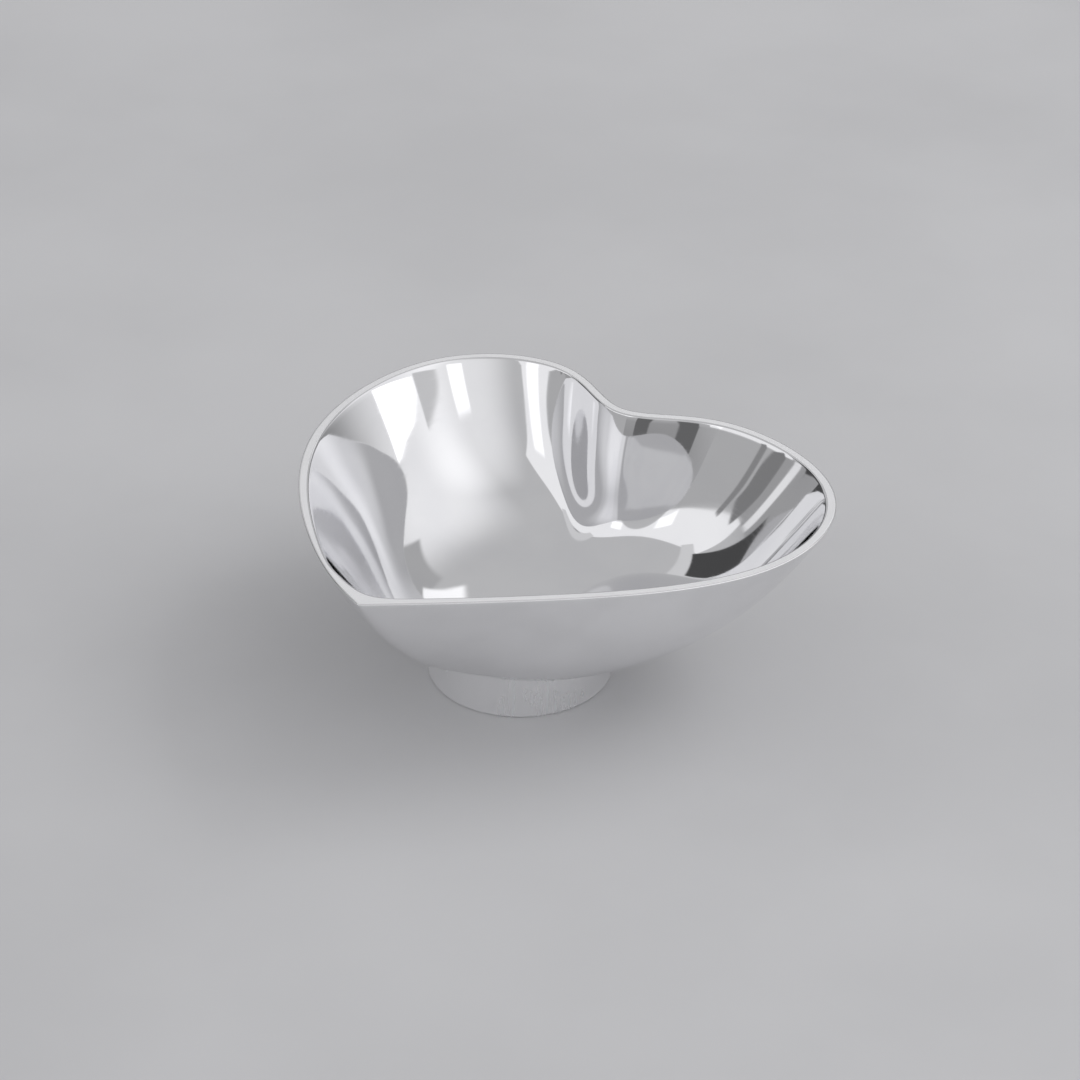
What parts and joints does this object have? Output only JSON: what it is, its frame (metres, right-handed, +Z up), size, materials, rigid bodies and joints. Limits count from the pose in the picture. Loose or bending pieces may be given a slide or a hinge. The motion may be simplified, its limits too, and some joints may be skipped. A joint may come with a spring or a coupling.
{
  "type": "heart-shaped footed bowl",
  "caption": "Open heart-shaped trinket bowl in mirror-polished cast aluminium, with a flat ground rim, standing on a round foot ring.",
  "frame": {"origin": "on the table, under the middle of the rim's extents in X and Y", "axes": "+Z up, +Y from the heart's tip to its cleft, +X across the lobes towards the fuller lobe"},
  "size_m": [0.164, 0.148, 0.066],
  "materials": {
    "bowl_metal": "mirror polished, with a satin ground rim band",
    "foot_metal": "polished, with faint upright brush marks",
    "weld_metal": "as welded, matt"
  },
  "bodies": {
    "root": {"bowl": "bowl_metal", "foot_ring": "foot_metal", "weld_bead": "weld_metal"}
  },
  "joints": []
}
